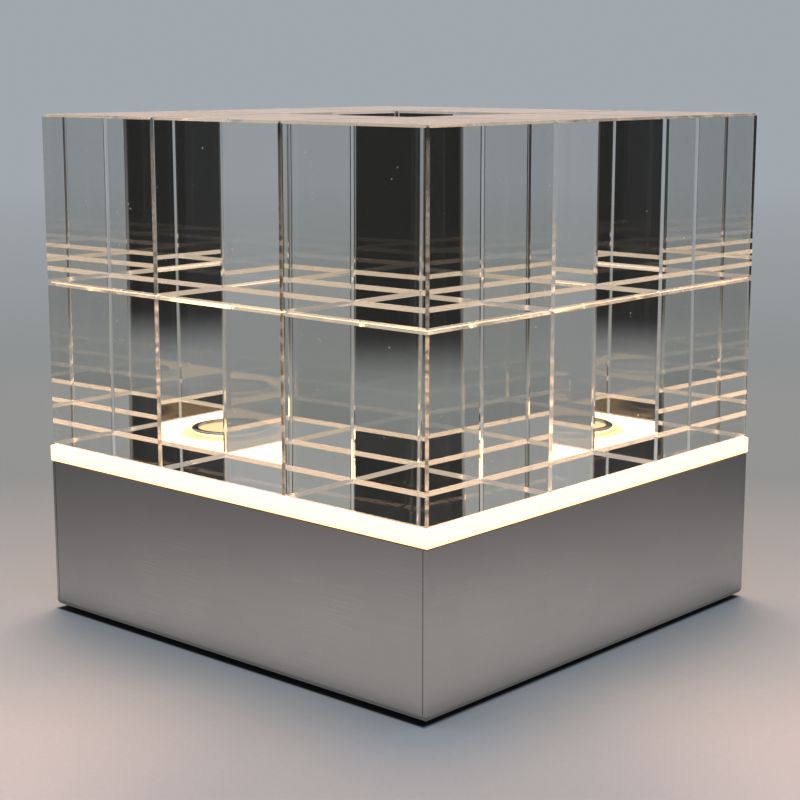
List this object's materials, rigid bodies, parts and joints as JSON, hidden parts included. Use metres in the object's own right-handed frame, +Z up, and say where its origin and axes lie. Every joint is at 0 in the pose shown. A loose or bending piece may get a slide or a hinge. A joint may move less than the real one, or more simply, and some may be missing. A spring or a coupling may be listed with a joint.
{
  "type": "led cube light",
  "caption": "Cube-shaped garden light: clear crystal cubes stacked round an open well on a lit opal plate, over a square polished stainless base with the light source inside.",
  "frame": {"origin": "middle of the plane that the feet stand on", "axes": "+Z up, +X to the right and -Y towards the front, square to the base's sides"},
  "size_m": [0.1506, 0.1506, 0.1493],
  "materials": {
    "stainless": "polished",
    "crystal": "polished clear",
    "opal_lit": "opal, lit",
    "lens_lit": "opal, lit",
    "chrome": "mirror",
    "rubber": "matt",
    "seal_dark": "matt",
    "aluminium": "satin",
    "board_white": "solder mask",
    "led_phosphor": "phosphor",
    "reflector_white": "matt",
    "driver_plastic": "matt",
    "board_green": "solder mask",
    "transformer": "tape",
    "capacitor": "sleeve",
    "terminal_plastic": "moulded",
    "brass": "bright",
    "steel_fixings": "zinc plated",
    "tinned": "tinned",
    "lead_brown": "insulation",
    "lead_blue": "insulation",
    "lead_red": "insulation",
    "lead_black": "insulation",
    "lead_green": "insulation"
  },
  "bodies": {
    "root": {"base_tray": "stainless", "cable_grommet": "rubber", "floor_studs": "steel_fixings", "stud_nuts": "steel_fixings", "carrier_plate": "aluminium", "led_board": "board_white", "led_chips": "led_phosphor", "carrier_screws": "steel_fixings", "reflector_frame": "reflector_white", "spot_board": "board_white", "spot_led": "led_phosphor", "hollow_post": "aluminium", "post_screws": "steel_fixings", "seal_frame": "seal_dark", "diffuser_plate": "opal_lit", "well_ring": "chrome", "ring_seal": "seal_dark", "well_lens": "lens_lit", "driver_case": "driver_plastic", "driver_floor": "driver_plastic", "driver_board": "board_green", "driver_transformer": "transformer", "driver_capacitors": "capacitor", "terminal_block": "terminal_plastic", "terminal_clamps": "brass", "terminal_screws": "steel_fixings", "lead_live": "lead_brown", "lead_neutral": "lead_blue", "lead_positive": "lead_red", "lead_negative": "lead_black", "lead_earth": "lead_green", "earth_lug": "tinned", "board_connector": "terminal_plastic", "rubber_foot_1": "rubber", "standoff_1": "brass", "rubber_foot_2": "rubber", "standoff_2": "brass", "rubber_foot_3": "rubber", "standoff_3": "brass", "rubber_foot_4": "rubber", "standoff_4": "brass", "crystal_lower_front_left": "crystal", "crystal_lower_front_middle": "crystal", "crystal_lower_front_right": "crystal", "crystal_lower_middle_left": "crystal", "crystal_lower_middle_right": "crystal", "crystal_lower_back_left": "crystal", "crystal_lower_back_middle": "crystal", "crystal_lower_back_right": "crystal", "crystal_upper_front_left": "crystal", "crystal_upper_front_middle": "crystal", "crystal_upper_front_right": "crystal", "crystal_upper_middle_left": "crystal", "crystal_upper_middle_right": "crystal", "crystal_upper_back_left": "crystal", "crystal_upper_back_middle": "crystal", "crystal_upper_back_right": "crystal"}
  },
  "joints": []
}
